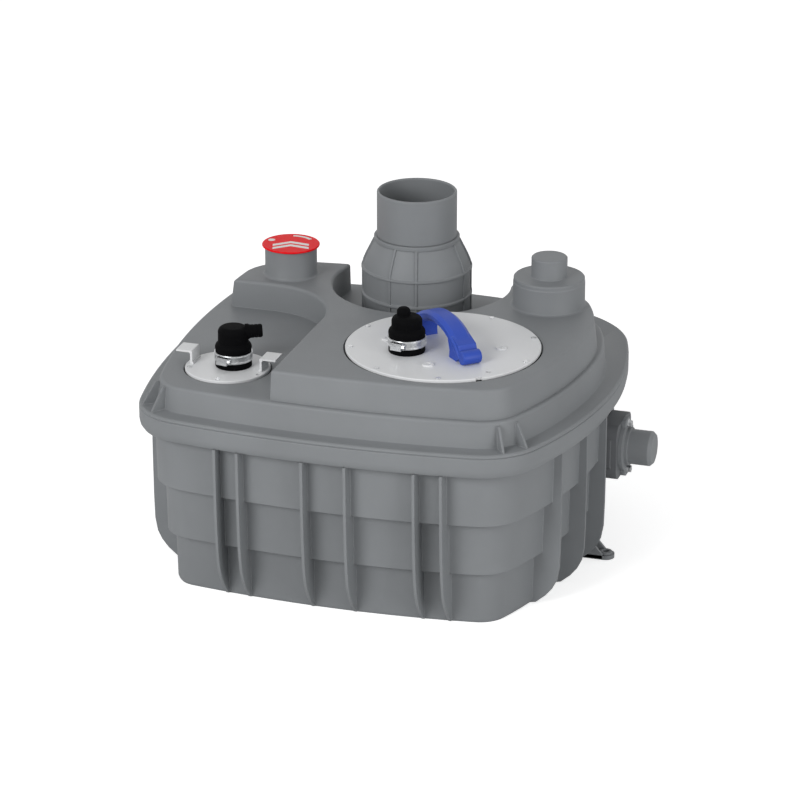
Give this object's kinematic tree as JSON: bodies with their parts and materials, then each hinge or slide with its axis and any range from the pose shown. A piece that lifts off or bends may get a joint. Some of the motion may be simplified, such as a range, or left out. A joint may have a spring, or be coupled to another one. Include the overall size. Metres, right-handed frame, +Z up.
{
  "type": "sewage lifting station",
  "caption": "Floor-standing sewage lifting station: ribbed tank with stepped cover, lift-out grinder pump with blue handle, level sensor, ribbed inlet bell and side discharge with a swing flap.",
  "frame": {"origin": "centre of the flat bottom of the tank, on the floor", "axes": "+Z up, +X to the right towards the side discharge, +Y to the back towards the inlet bell"},
  "size_m": [0.673, 0.604, 0.466],
  "materials": {
    "tank_grey": "fine matt moulded skin, mid grey",
    "housing_grey": "matt moulded skin, darker grey",
    "plate_white": "satin white moulded plastic",
    "handle_blue": "satin blue moulded plastic",
    "cap_red": "smooth red plastic with a plain white printed motif",
    "rubber_black": "matt black rubber",
    "plastic_black": "matt black plastic",
    "stainless": "bright stainless steel",
    "iron": "painted grey cast iron",
    "laminated_steel": "dark stacked sheet steel",
    "copper": "enamelled copper wire",
    "seal_face": "dark ground seal face"
  },
  "bodies": {
    "tank": {"tank_base": "tank_grey", "tank_cover": "tank_grey", "inlet_bell": "tank_grey", "inlet_pipe": "tank_grey", "vent_cap": "cap_red", "port_gasket": "rubber_black", "valve_housing": "housing_grey", "flap_pin": "stainless", "discharge_stub": "tank_grey", "housing_screws": "stainless", "inner_pipe": "tank_grey", "plate_gasket": "rubber_black", "sensor_gasket": "rubber_black"},
    "pump": {"pump_plate": "plate_white", "plate_screws": "stainless", "motor_screws": "plate_white", "handle": "handle_blue", "handle_bolts": "stainless", "cable_boot": "rubber_black", "boot_clamp": "stainless", "clamp_screw": "stainless", "motor_head": "iron", "motor_can": "stainless", "stator": "laminated_steel", "winding": "copper", "upper_bearing": "stainless", "lower_bearing": "stainless", "oil_housing": "iron", "seal_seat": "seal_face", "volute": "iron", "volute_screws": "stainless", "cutter_plate": "stainless", "cutter_screws": "stainless", "outlet_elbow": "iron", "face_seal": "rubber_black"},
    "rotor": {"shaft": "stainless", "rotor_core": "laminated_steel", "seal_ring": "stainless", "impeller": "stainless", "cutter_head": "stainless", "cutter_bolt": "stainless"},
    "flap": {"flap": "housing_grey", "flap_rubber": "rubber_black"},
    "sensor": {"sensor_plate": "plate_white", "sensor_screws": "stainless", "sensor_clips": "plate_white", "sensor_boot": "rubber_black", "sensor_clamp": "stainless", "sensor_clamp_screw": "stainless", "dip_tube": "tank_grey", "pressure_switch": "plastic_black"}
  },
  "joints": [
    {"name": "pump_lift", "type": "slide", "parent": "tank", "child": "pump", "axis": [0, 0, 1], "range_m": [0, 0.34]},
    {"name": "rotor_spin", "type": "hinge", "parent": "pump", "child": "rotor", "pos_m": [0.11, -0.113, 0.2], "axis": [0, 0, 1], "continuous": true},
    {"name": "flap_hinge", "type": "hinge", "parent": "tank", "child": "flap", "pos_m": [0.298, 0.062, 0.173], "axis": [0, -1, 0], "range_deg": [0, 50]},
    {"name": "sensor_lift", "type": "slide", "parent": "tank", "child": "sensor", "axis": [0, 0, 1], "range_m": [0, 0.26]}
  ]
}
